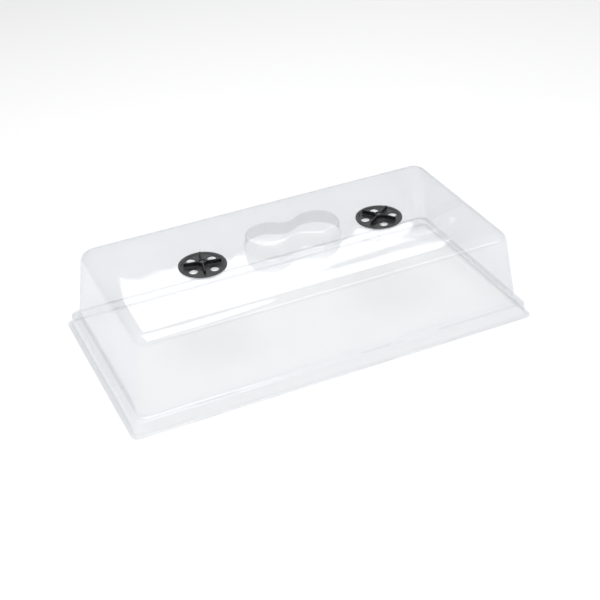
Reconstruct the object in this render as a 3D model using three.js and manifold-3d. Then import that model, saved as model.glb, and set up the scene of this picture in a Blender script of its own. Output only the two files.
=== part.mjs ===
// Vented humidity dome: a clear thermoformed cover that stands over a seed tray, with two rotary air vents.
// Millimetres, +Z up, origin at the centre of the rim's underside. X runs along the long side.
import * as THREE from "three";
import { mergeVertices } from "three/addons/utils/BufferGeometryUtils.js";
import Module from "manifold-3d";

const wasm = await Module();
wasm.setup();

// ---- Driving dimensions -------------------------------------------------------------------------
const RIM_LENGTH = 540;
const RIM_WIDTH = 276;
const ROOF_Z = 118;
const SHEET = 0.9; // thickness of the formed sheet

// Rim: a flat lip, an upright skirt that goes over the tray's edge, and a ledge that rests on it.
const LIP_WIDTH = 3.5;
const LIP_CORNER = 9;
const SKIRT_LEAN = 2;
const SKIRT_CORNER = 10;
const LEDGE_Z = 17.8;
const LEDGE_WIDTH = 7;

// Walls lean in to the roof, which they meet in a large rounding. Insets are from the rim's edge.
const WALL_FOOT_CORNER = 14;
const WALL_TOP_INSET_X = 24.3;
const WALL_TOP_INSET_Y = 21.6;
const WALL_TOP_CORNER = 19.6;
const ROOF_ROUNDING = 15;
const WALL_LEAN = THREE.MathUtils.degToRad(6);
const ROUNDING_STEPS = 6;

// Handle: a hollow boss on the roof, two round lobes with a waist between them to pinch.
const HANDLE_HEIGHT = 20;
const LOBE_OFFSET = 32;
const LOBE_FOOT = 31;
const WAIST_FOOT = 20;
const HANDLE_LEAN = 1.5;
const SHOULDER_ROUNDING = 2.5;
const FOOT_ROUNDING = 2.5;

// Vents. Heights in a vent are above the roof's top face.
const VENT_OFFSET = 121;
const GAP = 0.3;
const DIAL_R = 30;
const DIAL_TOP = 1.6;
const DIAL_EDGE_CHAMFER = 0.5;
const DISH_R = 26.4; // the dial's dished middle, which turns inside the pocket
const DISH_WALL = 1.3;
const DISH_DRAFT = 1;
const DIAL_FLOOR = -1;
const DIAL_THICKNESS = 1.5;
const POCKET_R = 27.3; // round pocket formed in the roof under the dial
const POCKET_FLOOR = DIAL_FLOOR - DIAL_THICKNESS - GAP;
const PORT_R = 5.3;
const PORT_CIRCLE_R = 18.4;
const PORT_COUNT = 4;
const FIN_LENGTH = 47;
const FIN_WIDTH = 2.2;
const FIN_TOP = 6.2;
const HUB_R = 5.4;
const HEAD_SEAT = 4; // the rivet's head sits on this level, sunk in the hub
const RIVET_R = 1.9;
const RIVET_HEAD_R = 3.5;
const RIVET_HEAD_HEIGHT = 1.7;
const RIVET_FOOT_R = 3.4;
const RIVET_FOOT_HEIGHT = 1.4;
const BORE_R = RIVET_R + GAP;
const WASHER_R = 7;
const WASHER_THICKNESS = 1.2;
const WASHER_TOP = POCKET_FLOOR - SHEET - GAP;
const LEFT_VENT_TURN = -13; // degrees from X to the first grip fin
const RIGHT_VENT_TURN = 37;

const DISC_STEPS = 64;
const SMALL_STEPS = 20;
const CORNER_STEPS = 8;
const LOBE_STEPS = 10;
const CUT_MARGIN = 5;
const JOIN_MARGIN = 0.4; // how far two joined solids run into each other

// ---- Materials ----------------------------------------------------------------------------------
const clearSheet = new THREE.MeshStandardMaterial({
  color: 0xe9eef4,
  roughness: 0.08,
  metalness: 0,
  transparent: true,
  opacity: 0.3,
});
const blackPlastic = new THREE.MeshStandardMaterial({ color: 0x26282a, roughness: 0.45, metalness: 0 });
const greyPlastic = new THREE.MeshStandardMaterial({ color: 0x5a5c5e, roughness: 0.4, metalness: 0 });

// ---- Solids and meshes --------------------------------------------------------------------------
function solid(geometry) {
  const bare = geometry.clone();
  bare.deleteAttribute("normal");
  bare.deleteAttribute("uv");
  const merged = mergeVertices(bare, 1e-4);
  return new wasm.Manifold(
    new wasm.Mesh({
      numProp: 3,
      vertProperties: merged.attributes.position.array,
      triVerts: new Uint32Array(merged.index.array),
    }),
  );
}

function meshOf(name, body, material) {
  const made = body.getMesh();
  const geometry = new THREE.BufferGeometry();
  geometry.setAttribute("position", new THREE.BufferAttribute(made.vertProperties, 3));
  geometry.setIndex(new THREE.BufferAttribute(made.triVerts, 1));
  geometry.computeVertexNormals();
  const mesh = new THREE.Mesh(geometry, material);
  mesh.name = name;
  return mesh;
}

// A solid of revolution about Z. The profile is [radius, height] pairs, from the axis round to the axis.
function turned(profile, steps = DISC_STEPS) {
  const points = profile.map(([r, z]) => new THREE.Vector2(r, z));
  return solid(new THREE.LatheGeometry(points, steps).rotateX(Math.PI / 2));
}

function cylinder(radius, bottom, top, x = 0, y = 0, steps = SMALL_STEPS) {
  const rod = new THREE.CylinderGeometry(radius, radius, top - bottom, steps);
  return solid(rod.rotateX(Math.PI / 2).translate(x, y, (bottom + top) / 2));
}

// ---- Outlines and lofts -------------------------------------------------------------------------
function withoutRepeats(points) {
  const kept = points.filter((p, i) => i === 0 || p.distanceTo(points[i - 1]) > 1e-6);
  if (kept[0].distanceTo(kept[kept.length - 1]) < 1e-6) kept.pop();
  return kept;
}

function roundedRectangle(halfLength, halfWidth, radius) {
  const shape = new THREE.Shape();
  const [x, y] = [halfLength - radius, halfWidth - radius];
  shape.absarc(x, y, radius, 0, Math.PI / 2);
  shape.absarc(-x, y, radius, Math.PI / 2, Math.PI);
  shape.absarc(-x, -y, radius, Math.PI, 1.5 * Math.PI);
  shape.absarc(x, -y, radius, 1.5 * Math.PI, 2 * Math.PI);
  return withoutRepeats(shape.getPoints(CORNER_STEPS));
}

// Two round lobes joined by hollow arcs that are tangent to both and leave the waist between them.
function twoLobes(lobe, waist) {
  const hollow = (LOBE_OFFSET ** 2 + waist ** 2 - lobe ** 2) / (2 * (lobe - waist));
  const turn = Math.atan2(waist + hollow, -LOBE_OFFSET);
  const shape = new THREE.Shape();
  shape.absarc(LOBE_OFFSET, 0, lobe, -turn, turn);
  shape.absarc(0, waist + hollow, hollow, turn - Math.PI, -turn, true);
  shape.absarc(-LOBE_OFFSET, 0, lobe, Math.PI - turn, Math.PI + turn);
  shape.absarc(0, -waist - hollow, hollow, turn, Math.PI - turn, true);
  return withoutRepeats(shape.getPoints(LOBE_STEPS));
}

// A closed solid through outlines of equal point count, given from the bottom up as {outline, z}.
function loft(rings) {
  const count = rings[0].outline.length;
  const position = rings.flatMap(({ outline, z }) => outline.flatMap((p) => [p.x, p.y, z]));
  const index = [];
  for (let k = 0; k + 1 < rings.length; k++) {
    for (let i = 0; i < count; i++) {
      const [a, b] = [k * count + i, k * count + ((i + 1) % count)];
      index.push(a, b, b + count, a, b + count, a + count);
    }
  }
  const top = (rings.length - 1) * count;
  for (const [a, b, c] of THREE.ShapeUtils.triangulateShape(rings[0].outline, [])) index.push(c, b, a);
  for (const [a, b, c] of THREE.ShapeUtils.triangulateShape(rings.at(-1).outline, [])) {
    index.push(top + a, top + b, top + c);
  }
  const geometry = new THREE.BufferGeometry();
  geometry.setAttribute("position", new THREE.Float32BufferAttribute(position, 3));
  geometry.setIndex(index);
  return solid(geometry);
}

// ---- Dome ---------------------------------------------------------------------------------------
function domeRing({ insetX, insetY = insetX, z, corner }) {
  return { outline: roundedRectangle(RIM_LENGTH / 2 - insetX, RIM_WIDTH / 2 - insetY, corner), z };
}

// The ledge, the wall and the roof's rounding, drawn in by the thickness for the inner face.
function upperRows(thickness) {
  const ledgeEdge = LIP_WIDTH + SKIRT_LEAN + thickness;
  const rows = [
    { insetX: ledgeEdge, z: LEDGE_Z - thickness, corner: SKIRT_CORNER },
    { insetX: ledgeEdge + LEDGE_WIDTH, z: LEDGE_Z - thickness + 0.01, corner: WALL_FOOT_CORNER },
  ];
  const radius = ROOF_ROUNDING - thickness;
  const tangent = ROOF_ROUNDING / Math.tan(Math.PI / 4 + WALL_LEAN / 2);
  for (let k = 0; k <= ROUNDING_STEPS; k++) {
    const angle = WALL_LEAN + (k / ROUNDING_STEPS) * (Math.PI / 2 - WALL_LEAN);
    const inward = tangent - radius * Math.cos(angle);
    rows.push({
      insetX: WALL_TOP_INSET_X + inward,
      insetY: WALL_TOP_INSET_Y + inward,
      z: ROOF_Z - ROOF_ROUNDING + radius * Math.sin(angle),
      corner: WALL_TOP_CORNER - inward,
    });
  }
  return rows;
}

function domeBody() {
  const outer = [
    { insetX: 0, z: 0, corner: LIP_CORNER },
    { insetX: 0, z: SHEET, corner: LIP_CORNER },
    { insetX: LIP_WIDTH, z: SHEET + 0.01, corner: LIP_CORNER },
    ...upperRows(0),
  ];
  const inner = [
    { insetX: LIP_WIDTH + SHEET, z: -CUT_MARGIN, corner: LIP_CORNER },
    { insetX: LIP_WIDTH + SHEET, z: 0, corner: LIP_CORNER },
    ...upperRows(SHEET),
  ];
  return { outer: loft(outer.map(domeRing)), inner: loft(inner.map(domeRing)) };
}

// The boss's outer face, or its inner face when drawn in by the sheet's thickness.
function handleBoss(thickness) {
  const foot = ROOF_Z - thickness;
  const top = foot + HANDLE_HEIGHT;
  const ring = (spread, z) => ({
    outline: twoLobes(LOBE_FOOT + spread - thickness, WAIST_FOOT + spread - thickness),
    z,
  });
  const footBend = FOOT_ROUNDING * (1 - Math.SQRT1_2);
  const shoulderBend = SHOULDER_ROUNDING * (1 - Math.SQRT1_2);
  return loft([
    ring(FOOT_ROUNDING, foot - JOIN_MARGIN),
    ring(FOOT_ROUNDING, foot),
    ring(footBend, foot + footBend),
    ring(0, foot + FOOT_ROUNDING),
    ring(-HANDLE_LEAN, top - SHOULDER_ROUNDING),
    ring(-HANDLE_LEAN - shoulderBend, top - shoulderBend),
    ring(-HANDLE_LEAN - SHOULDER_ROUNDING, top),
  ]);
}

// Both faces of the pocket under a dial, with its air ports and the rivet's hole punched through.
function withVentPocket(shell, x, turn) {
  const low = ROOF_Z + POCKET_FLOOR - SHEET;
  const cup = cylinder(POCKET_R + SHEET, low, ROOF_Z - JOIN_MARGIN, x, 0, DISC_STEPS);
  const hollow = cylinder(POCKET_R, low + SHEET, ROOF_Z + CUT_MARGIN, x, 0, DISC_STEPS);
  const punched = ventPorts(low - CUT_MARGIN, ROOF_Z + CUT_MARGIN).add(
    cylinder(BORE_R, low - CUT_MARGIN, ROOF_Z + CUT_MARGIN),
  );
  return shell.add(cup).subtract(hollow).subtract(punched.rotate([0, 0, turn]).translate([x, 0, 0]));
}

function domeShell() {
  const { outer, inner } = domeBody();
  let shell = outer.add(handleBoss(0)).subtract(inner).subtract(handleBoss(SHEET));
  shell = withVentPocket(shell, -VENT_OFFSET, LEFT_VENT_TURN);
  shell = withVentPocket(shell, VENT_OFFSET, RIGHT_VENT_TURN);
  return meshOf("dome_shell", shell, clearSheet);
}

// ---- Vents --------------------------------------------------------------------------------------
function ventPorts(bottom, top) {
  const ports = Array.from({ length: PORT_COUNT }, (_, k) => {
    const angle = ((k + 0.5) / PORT_COUNT) * 2 * Math.PI;
    const [x, y] = [PORT_CIRCLE_R * Math.cos(angle), PORT_CIRCLE_R * Math.sin(angle)];
    return cylinder(PORT_R, bottom, top, x, y);
  });
  return wasm.Manifold.union(ports);
}

// The dial turns in the pocket: a thin rim over the roof, a dished floor with ports, two crossed fins.
function ventDial(name) {
  const bottom = DIAL_FLOOR - DIAL_THICKNESS;
  let dial = turned([
    [0, bottom],
    [DISH_R, bottom],
    [DISH_R, GAP],
    [DIAL_R, GAP],
    [DIAL_R, DIAL_TOP - DIAL_EDGE_CHAMFER],
    [DIAL_R - DIAL_EDGE_CHAMFER, DIAL_TOP],
    [DISH_R - DISH_WALL + DISH_DRAFT, DIAL_TOP],
    [DISH_R - DISH_WALL, DIAL_FLOOR],
    [0, DIAL_FLOOR],
  ]);
  dial = dial.subtract(ventPorts(-CUT_MARGIN, CUT_MARGIN));
  const finBottom = DIAL_FLOOR - JOIN_MARGIN;
  const fin = new THREE.BoxGeometry(FIN_LENGTH, FIN_WIDTH, FIN_TOP - finBottom);
  fin.translate(0, 0, (FIN_TOP + finBottom) / 2);
  dial = dial.add(solid(fin)).add(solid(fin.clone().rotateZ(Math.PI / 2)));
  dial = dial.add(cylinder(HUB_R, finBottom, FIN_TOP));
  dial = dial.subtract(cylinder(RIVET_HEAD_R + GAP, HEAD_SEAT, FIN_TOP + CUT_MARGIN));
  dial = dial.subtract(cylinder(BORE_R, -CUT_MARGIN, 2 * CUT_MARGIN));
  return meshOf(name, dial, blackPlastic);
}

// The rivet holds the dial to the roof: a domed head sunk in the hub, a flared foot under the washer.
function ventRivet(name) {
  const seat = HEAD_SEAT + GAP;
  const flare = WASHER_TOP - WASHER_THICKNESS - GAP;
  const rivet = turned(
    [
      [0, flare - RIVET_FOOT_HEIGHT],
      [RIVET_FOOT_R * 0.8, flare - RIVET_FOOT_HEIGHT],
      [RIVET_FOOT_R, flare],
      [RIVET_R, flare],
      [RIVET_R, seat],
      [RIVET_HEAD_R, seat],
      [RIVET_HEAD_R * 0.85, seat + RIVET_HEAD_HEIGHT * 0.6],
      [RIVET_HEAD_R * 0.5, seat + RIVET_HEAD_HEIGHT * 0.9],
      [0, seat + RIVET_HEAD_HEIGHT],
    ],
    SMALL_STEPS,
  );
  return meshOf(name, rivet, greyPlastic);
}

function ventWasher(name) {
  const disc = turned([
    [0, WASHER_TOP - WASHER_THICKNESS],
    [WASHER_R, WASHER_TOP - WASHER_THICKNESS],
    [WASHER_R, WASHER_TOP],
    [0, WASHER_TOP],
  ]);
  return meshOf(name, disc.subtract(cylinder(BORE_R, -2 * CUT_MARGIN, 0)), blackPlastic);
}

function vent(side, x, turn) {
  const group = new THREE.Group();
  group.position.set(x, 0, ROOF_Z);
  group.rotation.z = THREE.MathUtils.degToRad(turn);
  group.add(ventDial(`${side}_vent_dial`));
  group.add(ventRivet(`${side}_vent_rivet`));
  group.add(ventWasher(`${side}_vent_washer`));
  return group;
}

// ---- Assembly -----------------------------------------------------------------------------------
const dome = new THREE.Group();
dome.add(domeShell());
dome.add(vent("left", -VENT_OFFSET, LEFT_VENT_TURN));
dome.add(vent("right", VENT_OFFSET, RIGHT_VENT_TURN));

export default dome;
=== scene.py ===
"""Looks for a vented humidity dome: a clear formed sheet and two black turning vents, in studio light."""

import math

import bmesh
import bpy
import numpy as np
from mathutils import Matrix, Vector
from mathutils.geometry import delaunay_2d_cdt


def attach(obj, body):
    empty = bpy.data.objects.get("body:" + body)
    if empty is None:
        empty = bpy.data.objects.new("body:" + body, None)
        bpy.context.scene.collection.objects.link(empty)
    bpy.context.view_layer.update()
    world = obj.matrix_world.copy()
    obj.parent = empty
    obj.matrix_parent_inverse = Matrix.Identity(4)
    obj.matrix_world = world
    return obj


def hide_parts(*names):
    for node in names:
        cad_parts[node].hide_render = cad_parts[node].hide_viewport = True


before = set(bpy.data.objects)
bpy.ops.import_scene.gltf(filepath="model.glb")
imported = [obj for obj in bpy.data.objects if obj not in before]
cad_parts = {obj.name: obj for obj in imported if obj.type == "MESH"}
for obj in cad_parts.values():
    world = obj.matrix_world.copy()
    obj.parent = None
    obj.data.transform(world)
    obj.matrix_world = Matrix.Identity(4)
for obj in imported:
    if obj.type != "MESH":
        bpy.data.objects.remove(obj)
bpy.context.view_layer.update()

MM = 0.001

# ---- Sizes of the dome, in millimetres ----------------------------------------------------------
ROOF_Z = 118.0
SHEET = 0.9
RIM_HALF = (270.0, 138.0)
# Each bend of the sheet, from the lip's edge up: inset on the ends, inset on the sides, height,
# plan corner radius, and how far from the bend its rounding starts.
DOME_BENDS = np.array([
    [0.0, 0.0, 0.9, 9.0, 0.0],
    [3.5, 3.5, 0.9, 9.0, 1.1],
    [5.5, 5.5, 17.8, 10.0, 1.7],
    [12.5, 12.5, 17.8, 14.0, 2.0],
    [24.3, 21.6, 118.0, 19.6, 13.5],
    [41.3, 38.6, 118.0, 2.6, 0.0],
])
DOME_BEND_STEPS = (0, 5, 7, 6, 22, 0)

HANDLE_TOP = 138.0
LOBE_OFFSET = 32.0
LOBE_RADIUS = 31.0
WAIST_RADIUS = 20.0
# Each bend of the grip: how far outside its foot outline, height, and rounding.
HANDLE_BENDS = np.array([
    [7.0, 118.0, 0.0],
    [0.2, 118.0, 2.6],
    [-1.6, 138.0, 2.7],
    [-8.0, 138.0, 0.0],
])
HANDLE_BEND_STEPS = (0, 8, 9, 0)

VENTS = {"left": (-121.0, -13.0), "right": (121.0, 37.0)}  # place along X, turn in degrees
PORT_CIRCLE = 18.4
PORT_RADIUS = 5.3
BORE_RADIUS = 2.2
# Each bend of the pocket under a dial: radius, height above the roof, and rounding.
POCKET_BENDS = np.array([
    [31.5, 0.0, 0.0],
    [27.4, 0.0, 1.1],
    [27.2, -2.8, 0.9],
    [24.9, -2.8, 0.0],
])
POCKET_BEND_STEPS = (0, 6, 5, 0)


# ---- Curves as arrays ---------------------------------------------------------------------------
def bent_line(bends, steps, spacing):
    """Rounds a line of bends. Each bend becomes an arc, the rational curve
    ((1-t)^2 A + 2t(1-t)w B + t^2 C) / ((1-t)^2 + 2t(1-t)w + t^2) between the points A and C that lie the
    rounding's length from the bend B, with w the cosine of half the turn. The last column is the rounding.
    A bend with more than two other columns is measured by its first and third, the inset and the height."""
    points, trims = bends[:, :-1], bends[:, -1]
    flat = points[:, [0, 2]] if points.shape[1] > 2 else points
    pieces = [points[:1]]
    for k in range(1, len(points) - 1):
        before, after = points[k - 1] - points[k], points[k + 1] - points[k]
        length_b = np.linalg.norm(flat[k - 1] - flat[k])
        length_a = np.linalg.norm(flat[k + 1] - flat[k])
        cosine = (flat[k - 1] - flat[k]) @ (flat[k + 1] - flat[k]) / (length_a * length_b)
        weight = math.sin(0.5 * math.acos(cosine))
        start = points[k] + before * (trims[k] / length_b)
        end = points[k] + after * (trims[k] / length_a)
        t = np.linspace(0, 1, steps[k] + 1)[:, None]
        shares = (1 - t) ** 2, 2 * t * (1 - t) * weight, t**2
        arc = (shares[0] * start + shares[1] * points[k] + shares[2] * end) / sum(shares)
        pieces.append(arc)
    pieces.append(points[-1:])
    return np.vstack([
        part
        for k, piece in enumerate(pieces)
        for part in ([piece] if k == 0 else [straight(pieces[k - 1][-1], piece[0], spacing), piece])
    ])


def straight(start, end, spacing, margin=0.6):
    """Points between two others, evenly spaced, with one close to each end to hold the flat shading."""
    length = np.linalg.norm((end - start)[:3])
    if length < 3 * margin:
        return np.empty((0, len(start)))
    count = max(2, int(round(length / spacing)))
    shares = np.concatenate([[margin / length], np.arange(1, count) / count, [1 - margin / length]])
    shares = np.unique(shares[(shares >= margin / length) & (shares <= 1 - margin / length)])
    return start + (end - start) * shares[:, None]


CORNER_STEPS, LONG_STEPS, SHORT_STEPS = 18, 72, 36


def rim_outline(inset_x, inset_y, corner):
    """A rectangle with round corners: four quarter circles joined by straight sides, anticlockwise.
    Every outline has the same number of points, so that two of them make a band of faces."""
    t = np.linspace(0, np.pi / 2, CORNER_STEPS + 1)
    centre = np.array([RIM_HALF[0] - inset_x - corner, RIM_HALF[1] - inset_y - corner])
    signs = np.array([[1, 1], [-1, 1], [-1, -1], [1, -1]])
    arcs = [
        centre * sign + corner * np.column_stack([np.cos(t + q * np.pi / 2), np.sin(t + q * np.pi / 2)])
        for q, sign in enumerate(signs)
    ]
    sides = []
    for q in range(4):
        count = (LONG_STEPS, SHORT_STEPS)[q % 2]
        s = (np.arange(1, count) / count)[:, None]
        sides.append(arcs[q][-1] * (1 - s) + arcs[(q + 1) % 4][0] * s)
    return np.vstack([part for pair in zip(arcs, sides) for part in pair])


def plan_normals(outline):
    """The outward direction in plan at each point of an anticlockwise outline: its tangent turned right."""
    tangent = np.roll(outline, -1, 0) - np.roll(outline, 1, 0)
    tangent /= np.linalg.norm(tangent, axis=1)[:, None]
    return np.column_stack([tangent[:, 1], -tangent[:, 0]])


def two_lobes(lobe, waist):
    """Two circles of radius lobe joined by hollow arcs that touch both and pass the waist's half width."""
    hollow = (LOBE_OFFSET**2 + waist**2 - lobe**2) / (2 * (lobe - waist))
    turn = math.atan2(waist + hollow, -LOBE_OFFSET)
    outer = np.linspace(-turn, turn, 61)[:-1]
    inner = np.linspace(turn - np.pi, -turn, 33)[:-1]
    right = np.column_stack([LOBE_OFFSET + lobe * np.cos(outer), lobe * np.sin(outer)])
    top = np.column_stack([hollow * np.cos(inner), waist + hollow + hollow * np.sin(inner)])
    half = np.vstack([right, top])
    return np.vstack([half, -half])


def circle(radius, count=96, centre=(0.0, 0.0)):
    """An anticlockwise circle."""
    angle = np.arange(count) / count * 2 * np.pi
    return np.column_stack([centre[0] + radius * np.cos(angle), centre[1] + radius * np.sin(angle)])


def port_centres(turn=0.0):
    """Four places on a circle, halfway between the fins."""
    angle = math.radians(turn) + (np.arange(4) + 0.5) * np.pi / 2
    return PORT_CIRCLE * np.column_stack([np.cos(angle), np.sin(angle)])


# ---- Surfaces from arrays -----------------------------------------------------------------------
def rows_of(outlines, heights):
    """Stacks plan outlines with their heights as an array of rows of 3-D points."""
    return np.stack([np.column_stack([o, np.full(len(o), z)]) for o, z in zip(outlines, heights)])


def band(rows):
    """Faces between each row and the next, closed round the row."""
    count, width = rows.shape[:2]
    start = (np.arange(count - 1) * width)[:, None]
    here = np.arange(width)
    after = (here + 1) % width
    quads = np.stack([start + here, start + after, start + after + width, start + here + width], -1)
    return rows.reshape(-1, 3), quads.reshape(-1, 4).tolist()


def inside(points, outline):
    """Which points an outline goes round: those with an odd number of its edges to their right."""
    x, y = points[:, :1], points[:, 1:]
    (x1, y1), (x2, y2) = outline.T, np.roll(outline, -1, 0).T
    spans = (y1 > y) != (y2 > y)
    rise = np.where(y2 == y1, 1.0, y2 - y1)
    return (spans & (x < x1 + (y - y1) * (x2 - x1) / rise)).sum(1) % 2 == 1


def flat_patch(outer, holes, z, spacing, down=False):
    """A level surface inside one outline and outside others: a constrained Delaunay mesh of the outlines'
    points and of a square grid of points that keep clear of them, less the triangles whose centres are
    outside."""
    loops = [outer, *holes]
    edge = np.vstack(loops)
    low, high = outer.min(0), outer.max(0)
    x, y = np.meshgrid(*[np.arange(low[i] + spacing / 2, high[i], spacing) for i in (0, 1)])
    grid = np.column_stack([x.ravel(), y.ravel()])
    near = np.linalg.norm(grid[:, None] - edge[None], axis=2).min(1) if len(grid) else np.empty(0)
    points = np.vstack([edge, grid[near > 0.55 * spacing]])
    starts = np.cumsum([0] + [len(loop) for loop in loops])
    edges = [
        (int(s + i), int(s + (i + 1) % len(loop)))
        for s, loop in zip(starts, loops)
        for i in range(len(loop))
    ]
    found = delaunay_2d_cdt([Vector(p) for p in points], edges, [], 0, 1e-6)
    flat = np.array(found[0])
    faces = np.array(found[2])
    centres = flat[faces].mean(1)
    kept = inside(centres, outer)
    for hole in holes:
        kept &= ~inside(centres, hole)
    faces = faces[kept][:, ::-1] if down else faces[kept]
    return np.column_stack([flat, np.full(len(flat), z)]), faces.tolist()


def joined(name, parts, place=None):
    """One mesh of several surfaces whose shared edges are merged, in metres, smooth shaded."""
    counts = np.cumsum([0] + [len(verts) for verts, _ in parts])
    verts = np.vstack([verts for verts, _ in parts])
    faces = [[i + int(c) for i in face] for c, (_, part) in zip(counts, parts) for face in part]
    if place is not None:
        turn, shift = place
        cosine, sine = math.cos(turn), math.sin(turn)
        spin = np.array([[cosine, -sine, 0], [sine, cosine, 0], [0, 0, 1]])
        verts = verts @ spin.T + np.asarray(shift)
    mesh = bpy.data.meshes.new(name)
    mesh.from_pydata((verts * MM).tolist(), [], faces)
    work = bmesh.new()
    work.from_mesh(mesh)
    bmesh.ops.remove_doubles(work, verts=work.verts, dist=2e-6)
    work.to_mesh(mesh)
    work.free()
    mesh.polygons.foreach_set("use_smooth", np.ones(len(mesh.polygons), dtype=bool))
    piece = bpy.data.objects.new(name, mesh)
    bpy.context.scene.collection.objects.link(piece)
    return piece


# ---- The formed sheet ---------------------------------------------------------------------------
def smooth_step(value, low, high):
    """0 below low, 1 above high, and 3s^2 - 2s^3 of the share s between."""
    s = np.clip((value - low) / (high - low), 0, 1)
    return s * s * (3 - 2 * s)


def wall_wave(x, y, z):
    """Millimetres by which a wall stands in or out: three slow waves, faded to nothing at both bends."""
    along = x + 1.7 * y
    wave = 0.14 * np.sin(along / 41 + 0.6) * np.cos(z / 31)
    wave += 0.08 * np.sin(along / 19 + z / 27 + 1.9) + 0.06 * np.cos(along / 67 - z / 14)
    return wave * smooth_step(z, 22, 44) * (1 - smooth_step(z, 84, 106))


def roof_wave(x, y):
    """Millimetres by which the roof sags and swells, faded out at its edge, the grip and the vents."""
    wave = 0.11 * np.sin(x / 47 + 0.9) * np.cos(y / 29 + 0.4) + 0.05 * np.sin((x - 2 * y) / 33)
    clear = smooth_step(227 - np.abs(x), 0, 40) * smooth_step(98 - np.abs(y), 0, 34)
    grip = np.hypot(np.maximum(np.abs(x) - LOBE_OFFSET, 0), y)
    clear *= smooth_step(grip, 38, 60)
    for place, _ in VENTS.values():
        clear *= smooth_step(np.hypot(x - place, y), 32, 52)
    return (wave - 0.35) * clear


def formed_sheet():
    """The dome's outer face: rim outlines lofted up the bent section, the roof as a level patch with
    holes for the grip and the pockets, the grip lofted from its two-lobed outline, and the pockets turned.
    The sheet's thickness is added inwards."""
    section = bent_line(DOME_BENDS, DOME_BEND_STEPS, 7.0)
    outlines = [rim_outline(*row[[0, 1, 3]]) for row in section]
    walls = rows_of(outlines, section[:, 2])
    normals = np.stack([plan_normals(o) for o in outlines])
    wave = wall_wave(*np.moveaxis(walls, -1, 0))
    walls[..., :2] += normals * wave[..., None]

    grip = bent_line(HANDLE_BENDS, HANDLE_BEND_STEPS, 3.0)
    lobes = [two_lobes(LOBE_RADIUS + spread, WAIST_RADIUS + spread) for spread in grip[:, 0]]
    parts = [band(walls), band(rows_of(lobes, grip[:, 1])), flat_patch(lobes[-1], [], HANDLE_TOP, 4.0)]

    pocket = bent_line(POCKET_BENDS, POCKET_BEND_STEPS, 2.0)
    mouths = []
    for place, turn in VENTS.values():
        rings = [circle(r) + (place, 0.0) for r in pocket[:, 0]]
        mouths.append(rings[0])
        parts.append(band(rows_of(rings, ROOF_Z + pocket[:, 1])))
        ports = [circle(PORT_RADIUS, 40, c + (place, 0.0)) for c in port_centres(turn)]
        bore = circle(BORE_RADIUS, 24, (place, 0.0))
        parts.append(flat_patch(rings[-1], [*ports, bore], ROOF_Z + pocket[-1, 1], 3.0))
    roof, faces = flat_patch(outlines[-1], [lobes[0], *mouths], ROOF_Z, 5.0)
    roof[:, 2] += roof_wave(roof[:, 0], roof[:, 1])
    parts.append((roof, faces))
    return joined("dome_sheet", parts)


# ---- Vents --------------------------------------------------------------------------------------
def cross_outline(inset):
    """Four arms round a hub, anticlockwise: an arm's rounded tip, its side, an arc of the hub, the next
    arm's side and tip, four times with a quarter turn between. All of it is drawn in by the inset."""
    length, half, hub = 23.5 - inset, 1.15 - inset, 5.4 - inset
    tip = half - 0.04
    t = np.linspace(0, np.pi / 2, 6)
    corner = tip * np.column_stack([np.cos(t), np.sin(t)])
    root = math.sqrt(hub**2 - half**2)
    side = np.linspace(length - tip, root, 14)[1:]
    start = math.asin(half / hub)
    arc = np.linspace(start, np.pi / 2 - start, 9)[1:-1]
    sector = np.vstack([
        corner + (length - tip, half - tip),
        np.column_stack([side, np.full(len(side), half)]),
        hub * np.column_stack([np.cos(arc), np.sin(arc)]),
        np.column_stack([np.full(len(side), half), side[::-1]]),
        corner + (half - tip, length - tip),
    ])
    quarter = np.array([[0.0, 1.0], [-1.0, 0.0]])
    return np.vstack([sector @ np.linalg.matrix_power(quarter, k) for k in range(4)])


# Levels of the dial above the roof.
DIAL_UNDERSIDE = -0.8
DIAL_FLOOR = 0.6
FIN_TOP = 6.2
HEAD_SEAT = 4.0
# Each bend of the dial's round section, from its underside out, over the rim and into the dish:
# radius, height above the roof, and rounding.
DIAL_BENDS = np.array([
    [24.0, DIAL_UNDERSIDE, 0.0],
    [26.4, DIAL_UNDERSIDE, 0.4],
    [26.4, 0.3, 0.3],
    [30.0, 0.3, 0.25],
    [30.0, 1.5, 0.5],
    [26.0, 1.5, 0.35],
    [25.3, DIAL_FLOOR, 0.35],
    [23.9, DIAL_FLOOR, 0.0],
])
DIAL_BEND_STEPS = (0, 4, 3, 3, 5, 5, 5, 0)
PORT_BENDS = np.array([
    [5.7, DIAL_FLOOR, 0.0],
    [5.3, DIAL_FLOOR, 0.3],
    [5.3, DIAL_UNDERSIDE, 0.3],
    [5.7, DIAL_UNDERSIDE, 0.0],
])
HUB_BENDS = np.array([
    [4.1, FIN_TOP, 0.0],
    [3.8, FIN_TOP, 0.2],
    [3.8, HEAD_SEAT, 0.3],
    [2.2, HEAD_SEAT, 0.3],
    [2.2, DIAL_UNDERSIDE, 0.3],
    [2.6, DIAL_UNDERSIDE, 0.0],
])
FIN_BENDS = np.array([
    [-0.8, DIAL_FLOOR, 0.0],
    [0.0, DIAL_FLOOR, 0.7],
    [0.2, FIN_TOP, 0.4],
    [0.65, FIN_TOP, 0.0],
])


def turned_rows(bends, steps, count, centre=(0.0, 0.0)):
    """Rows of circles that carry a section of radius and height round an upright axis."""
    section = bent_line(bends, steps, 1.5)
    return rows_of([circle(r, count, centre) for r in section[:, 0]], section[:, 1])


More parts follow.
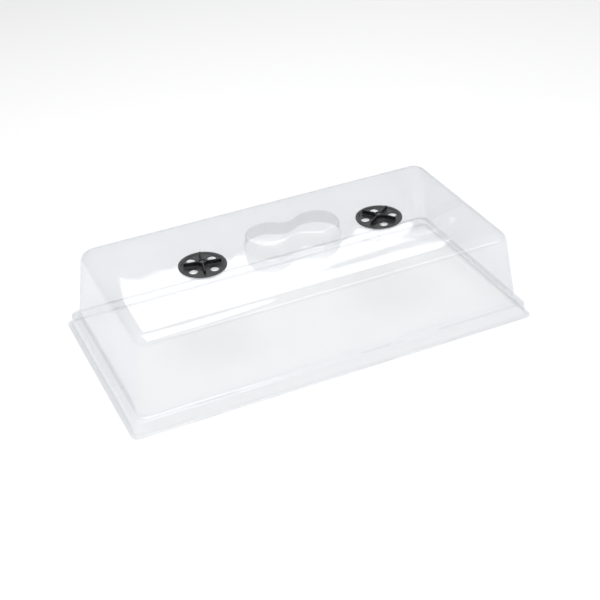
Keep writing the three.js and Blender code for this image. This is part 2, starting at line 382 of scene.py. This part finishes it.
def vent_dial(side):
    """The dial as one closed skin: its turned section, level patches above and below with the ports cut
    out, a rounded tube through each port, the crossed fins lofted up, and the hub's stepped hole."""
    place, turn = VENTS[side]
    section = turned_rows(DIAL_BENDS, DIAL_BEND_STEPS, 128)
    ports = [turned_rows(PORT_BENDS, (0, 4, 4, 0), 40, c) for c in port_centres()]
    fin = bent_line(FIN_BENDS, (0, 4, 4, 0), 1.5)
    fins = rows_of([cross_outline(inset) for inset in fin[:, 0]], fin[:, 1])
    hub = turned_rows(HUB_BENDS, (0, 3, 3, 3, 3, 0), 32)
    top_holes = [p[0, :, :2] for p in ports] + [fins[0, :, :2]]
    low_holes = [p[-1, :, :2] for p in ports] + [hub[-1, :, :2]]
    parts = [
        band(section),
        *[band(p) for p in ports],
        band(fins),
        band(hub),
        flat_patch(section[-1, :, :2], top_holes, DIAL_FLOOR, 2.5),
        flat_patch(section[0, :, :2], low_holes, DIAL_UNDERSIDE, 2.5, down=True),
        flat_patch(fins[-1, :, :2], [hub[0, :, :2]], FIN_TOP, 2.5),
    ]
    return joined(f"{side}_dial_moulding", parts, (math.radians(turn), (place, 0, ROOF_Z)))


RIVET_BENDS = np.array([
    [0.0, -6.9, 0.0],
    [2.6, -6.9, 0.3],
    [3.4, -5.5, 0.25],
    [1.9, -5.5, 0.3],
    [1.9, 4.3, 0.2],
    [3.5, 4.3, 0.25],
    [3.4, 5.0, 0.3],
    [2.2, 5.95, 0.8],
    [0.9, 6.0, 0.3],
    [0.6, 5.6, 0.2],
    [0.0, 5.6, 0.0],
])
WASHER_BENDS = np.array([
    [2.3, -4.0, 0.0],
    [2.2, -4.1, 0.05],
    [2.2, -5.1, 0.05],
    [2.3, -5.2, 0.05],
    [7.0, -5.2, 0.35],
    [7.0, -4.0, 0.35],
    [2.3, -4.0, 0.0],
])


def vent_rivet(side):
    """A turned pin with a domed, dimpled head and a flared foot, closed to a point at both poles."""
    rows = turned_rows(RIVET_BENDS, (0, 3, 3, 2, 3, 3, 3, 5, 3, 2, 0), 40)
    place, turn = VENTS[side]
    return joined(f"{side}_rivet_pin", [band(rows)], (math.radians(turn), (place, 0, ROOF_Z)))


def vent_washer(side):
    """A turned ring with rounded edges, whose section closes on itself."""
    rows = turned_rows(WASHER_BENDS, (0, 1, 1, 1, 4, 4, 0), 48)
    place, turn = VENTS[side]
    return joined(f"{side}_washer_ring", [band(rows)], (math.radians(turn), (place, 0, ROOF_Z)))


# ---- Materials ----------------------------------------------------------------------------------
class Finish:
    """A material's node tree, with short ways to add nodes and join them."""

    def __init__(self, name):
        self.material = bpy.data.materials.new(name)
        self.material.use_nodes = True
        self.tree = self.material.node_tree
        self.tree.nodes.clear()
        self.place = self.node("ShaderNodeTexCoord").outputs["Object"]

    def node(self, kind, settings=None, **inputs):
        made = self.tree.nodes.new(kind)
        for key, value in (settings or {}).items():
            setattr(made, key, value)
        for key, value in inputs.items():
            self.set(made.inputs[key.replace("_", " ")], value)
        return made

    def set(self, socket, value):
        if isinstance(value, bpy.types.NodeSocket):
            self.tree.links.new(value, socket)
        else:
            socket.default_value = value

    def noise(self, scale, detail=2.0, roughness=0.5, stretch=(1, 1, 1)):
        """Noise read at the object's own coordinates, its pattern stretched along the axes."""
        where = self.node("ShaderNodeMapping", None, Vector=self.place, Scale=stretch).outputs["Vector"]
        made = self.node("ShaderNodeTexNoise", None, Vector=where, Scale=scale, Detail=detail)
        made.inputs["Roughness"].default_value = roughness
        return made.outputs["Fac"]

    def spread(self, value, low, high, to_low, to_high):
        """Maps a range of a value to another range, held at its ends."""
        made = self.node("ShaderNodeMapRange", None, Value=value)
        made.inputs["From Min"].default_value = low
        made.inputs["From Max"].default_value = high
        made.inputs["To Min"].default_value = to_low
        made.inputs["To Max"].default_value = to_high
        return made.outputs["Result"]

    def maths(self, how, *values):
        made = self.node("ShaderNodeMath", {"operation": how})
        for socket, value in zip(made.inputs, values):
            self.set(socket, value)
        return made.outputs[0]

    def mixed(self, share, first, second):
        """A shader that runs from the first to the second with the share."""
        made = self.node("ShaderNodeMixShader", None, Fac=share)
        self.set(made.inputs[1], first)
        self.set(made.inputs[2], second)
        return made.outputs[0]

    def between(self, share, first, second):
        """A colour that runs from the first to the second with the share."""
        made = self.node("ShaderNodeMix", {"data_type": "RGBA"})
        self.set(made.inputs[0], share)
        self.set(made.inputs[6], first)
        self.set(made.inputs[7], second)
        return made.outputs[2]

    def bump(self, height, strength, distance):
        made = self.node("ShaderNodeBump", None, Height=height, Strength=strength, Distance=distance)
        return made.outputs["Normal"]

    def finish(self, shader):
        out = self.node("ShaderNodeOutputMaterial")
        self.tree.links.new(shader, out.inputs["Surface"])
        return self.material


SHEET_HEAD_ON = (0.958, 0.960, 0.962, 1)  # colour of the light let through
SHEET_AT_GLANCE = (0.88, 0.885, 0.915, 1)
SHEET_MILK = (0.84, 0.85, 0.87, 1)
MIRROR_HEAD_ON = 0.045
MIRROR_GAIN = 0.80
# pale grey mixed into the base colour of the vents' lower surfaces as painted sheen, in place of their
# reflection
PAINTED_SHEEN_GREY = (0.85, 0.86, 0.88, 1)
PAINTED_SHEEN_TOP = 119.7  # height where the painted sheen on a vent starts to thin out
PAINTED_SHEEN_FADE = 1.5


def clear_sheet_finish():
    """Clear glossy sheet. Light passes, a little greyer where the sheet is met at a glancing angle. The
    mirror share is 0.045 head on and grows by 0.8 of the fifth power of the glance. A thin milky haze and
    rubbed spots show."""
    f = Finish("clear_formed_sheet")
    glance = f.node("ShaderNodeLayerWeight", None, Blend=0.5).outputs["Facing"]
    slow = f.noise(11.0, 3.0)
    rubbed = f.spread(f.noise(70.0, 5.0, 0.65, (1, 3, 1)), 0.56, 0.72, 0.0, 1.0)
    ripple = f.bump(f.noise(55.0, 2.0), 0.05, 0.0006)
    through = f.between(f.maths("POWER", glance, 2.5), SHEET_HEAD_ON, SHEET_AT_GLANCE)
    clear = f.node("ShaderNodeBsdfTransparent", None, Color=through).outputs[0]
    milky = f.node("ShaderNodeBsdfPrincipled", None, Normal=ripple, Base_Color=SHEET_MILK, Roughness=0.45)
    haze = f.maths("ADD", f.spread(slow, 0.3, 0.7, 0.045, 0.07), f.maths("MULTIPLY", rubbed, 0.012))
    veiled = f.mixed(haze, clear, milky.outputs[0])
    rough = f.maths("ADD", f.spread(slow, 0.3, 0.7, 0.03, 0.06), f.maths("MULTIPLY", rubbed, 0.05))
    gloss = f.node("ShaderNodeBsdfGlossy", None, Normal=ripple, Color=(1, 1, 1, 1), Roughness=rough)
    mirror = f.maths("MULTIPLY_ADD", f.maths("POWER", glance, 5.0), MIRROR_GAIN, MIRROR_HEAD_ON)
    return f.finish(f.mixed(mirror, veiled, gloss.outputs[0]))


def moulded_finish(name, dark, light, rough_low, rough_high):
    """Moulded plastic: a slightly uneven colour, faint scuffs, and the fine grain of the mould. A pale grey
    painted sheen pales it unevenly up to just above the roof, and leaves what stands clear of that black."""
    f = Finish(name)
    cloud = f.noise(95.0, 4.0, 0.6)
    scuff = f.spread(f.noise(260.0, 6.0, 0.7, (1, 7, 2)), 0.58, 0.70, 0.0, 1.0)
    grain = f.noise(2600.0, 3.0)
    tone = f.between(f.spread(cloud, 0.35, 0.7, 0.0, 1.0), dark, light)
    height = f.node("ShaderNodeSeparateXYZ", None, Vector=f.place).outputs["Z"]
    # painted sheen: below the fin tops the colour is paled unevenly towards a grey that stands in for the
    # dial floor's reflection
    painted_sheen_mask = f.spread(height, PAINTED_SHEEN_TOP * MM, (PAINTED_SHEEN_TOP + PAINTED_SHEEN_FADE) * MM, 1.0, 0.0)
    painted_sheen_share = f.maths("MULTIPLY", painted_sheen_mask, f.spread(cloud, 0.35, 0.65, 0.008, 0.045))
    scratched = [min(1, 4 * c + 0.01) for c in light[:3]] + [1]
    scuffed_and_sheen_colour = f.between(f.maths("MULTIPLY", scuff, 0.2), f.between(painted_sheen_share, tone, PAINTED_SHEEN_GREY), scratched)
    body = f.node("ShaderNodeBsdfPrincipled", None, Normal=f.bump(grain, 0.18, 0.00012), Base_Color=scuffed_and_sheen_colour)
    body.inputs["Specular IOR Level"].default_value = 0.3
    rough = f.spread(cloud, 0.3, 0.7, rough_low, rough_high)
    f.set(body.inputs["Roughness"], f.maths("ADD", rough, f.maths("MULTIPLY", scuff, 0.08)))
    return f.finish(body.outputs[0])


# ---- Pieces on their bodies ---------------------------------------------------------------------
clear_finish = clear_sheet_finish()
black_finish = moulded_finish(
    "black_moulded", (0.004, 0.004, 0.005, 1), (0.009, 0.009, 0.010, 1), 0.26, 0.38
)
grey_finish = moulded_finish(
    "grey_moulded", (0.055, 0.056, 0.058, 1), (0.09, 0.091, 0.094, 1), 0.28, 0.40
)

sheet = formed_sheet()
wall = sheet.modifiers.new("sheet_thickness", "SOLIDIFY")
wall.thickness = SHEET * MM
wall.offset = -1
wall.use_even_offset = True
wall.use_quality_normals = True
sheet.data.materials.append(clear_finish)
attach(sheet, "dome")
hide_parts("dome_shell")

for side in VENTS:
    for piece, body, node, slot, finish in (
        (vent_dial(side), f"{side}_dial", f"{side}_vent_dial", "black_plastic", black_finish),
        (vent_rivet(side), "dome", f"{side}_vent_rivet", "grey_plastic", grey_finish),
        (vent_washer(side), "dome", f"{side}_vent_washer", "black_plastic", black_finish),
    ):
        piece.data.materials.append(finish)
        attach(piece, body)
        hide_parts(node)


# ---- Floor, light and camera --------------------------------------------------------------------
def pale_floor():
    """A wide level sheet under the rim."""
    mesh = bpy.data.meshes.new("floor")
    half = 20.0
    corners = [(-half, -half, 0), (half, -half, 0), (half, half, 0), (-half, half, 0)]
    mesh.from_pydata(corners, [], [(0, 1, 2, 3)])
    floor = bpy.data.objects.new("floor", mesh)
    floor.location.z = -0.0004  # just clear of the rim, so that the two faces don't meet
    bpy.context.scene.collection.objects.link(floor)
    f = Finish("floor_white")
    body = f.node("ShaderNodeBsdfPrincipled")
    body.inputs["Base Color"].default_value = (0.93, 0.93, 0.93, 1)
    body.inputs["Roughness"].default_value = 0.9
    body.inputs["Specular IOR Level"].default_value = 0.1
    body.inputs["Emission Color"].default_value = (1, 1, 1, 1)
    body.inputs["Emission Strength"].default_value = 0.045
    mesh.materials.append(f.finish(body.outputs[0]))


def soft_light(name, place, aim, size, power, roll=0.0):
    """A rectangular light facing the point it is aimed at."""
    lamp = bpy.data.lights.new(name, "AREA")
    lamp.shape = "RECTANGLE"
    lamp.size, lamp.size_y = size
    lamp.energy = power
    lit = bpy.data.objects.new(name, lamp)
    lit.location = place
    towards = (Vector(aim) - Vector(place)).to_track_quat("-Z", "Y")
    lit.rotation_euler = (towards.to_matrix() @ Matrix.Rotation(roll, 3, "Z")).to_euler()
    bpy.context.scene.collection.objects.link(lit)


def studio_world():
    """Pale surroundings that brighten from the horizon to overhead."""
    world = bpy.data.worlds.new("studio")
    world.use_nodes = True
    tree = world.node_tree
    tree.nodes.clear()
    where = tree.nodes.new("ShaderNodeTexCoord")
    split = tree.nodes.new("ShaderNodeSeparateXYZ")
    ramp = tree.nodes.new("ShaderNodeValToRGB")
    ramp.color_ramp.elements[0].position = 0.0
    ramp.color_ramp.elements[0].color = (0.40, 0.408, 0.42, 1)
    ramp.color_ramp.elements[1].position = 0.85
    ramp.color_ramp.elements[1].color = (0.74, 0.74, 0.74, 1)
    light = tree.nodes.new("ShaderNodeBackground")
    out = tree.nodes.new("ShaderNodeOutputWorld")
    tree.links.new(where.outputs["Generated"], split.inputs[0])
    tree.links.new(split.outputs["Z"], ramp.inputs[0])
    tree.links.new(ramp.outputs[0], light.inputs[0])
    tree.links.new(light.outputs[0], out.inputs[0])
    bpy.context.scene.world = world


def studio_camera():
    """A long lens above and to the left of the front, level but for a small roll."""
    azimuth, rise, roll = (math.radians(v) for v in (-23.338, 33.055, -2.874))
    back = Vector((math.sin(azimuth) * math.cos(rise), -math.cos(azimuth) * math.cos(rise), math.sin(rise)))
    level = Vector((math.cos(azimuth), math.sin(azimuth), 0))
    upright = back.cross(level)
    right = math.cos(roll) * level + math.sin(roll) * upright
    up = -math.sin(roll) * level + math.cos(roll) * upright
    eye = Vector((0, 0, 60)) + back * 1583.42 + right * 6.302 - up * 25.4
    lens = bpy.data.cameras.new("studio_camera")
    lens.lens, lens.sensor_width = 74.6, 36
    lens.clip_start, lens.clip_end = 0.05, 100
    camera = bpy.data.objects.new("studio_camera", lens)
    turn = Matrix((right, up, back)).transposed().to_4x4()
    camera.matrix_world = Matrix.Translation(eye * MM) @ turn
    bpy.context.scene.collection.objects.link(camera)
    bpy.context.scene.camera = camera


pale_floor()
studio_world()
soft_light("overhead_softbox", (-0.25, -0.7, 1.85), (-0.25, -0.7, 0), (1.5, 2.6), 26)
soft_light("front_strip", (0.88, -1.75, 1.10), (0.15, -0.11, 0.11), (1.3, 0.5), 3.0)
soft_light("back_strip", (0.624, 1.5, 1.25), (0.624, 0, 1.25), (0.99, 0.30), 2.3, math.radians(-7.5))
studio_camera()
bpy.context.scene.view_settings.view_transform = "Standard"
bpy.context.scene.cycles.transparent_max_bounces = 32
bpy.context.scene.cycles.max_bounces = 16
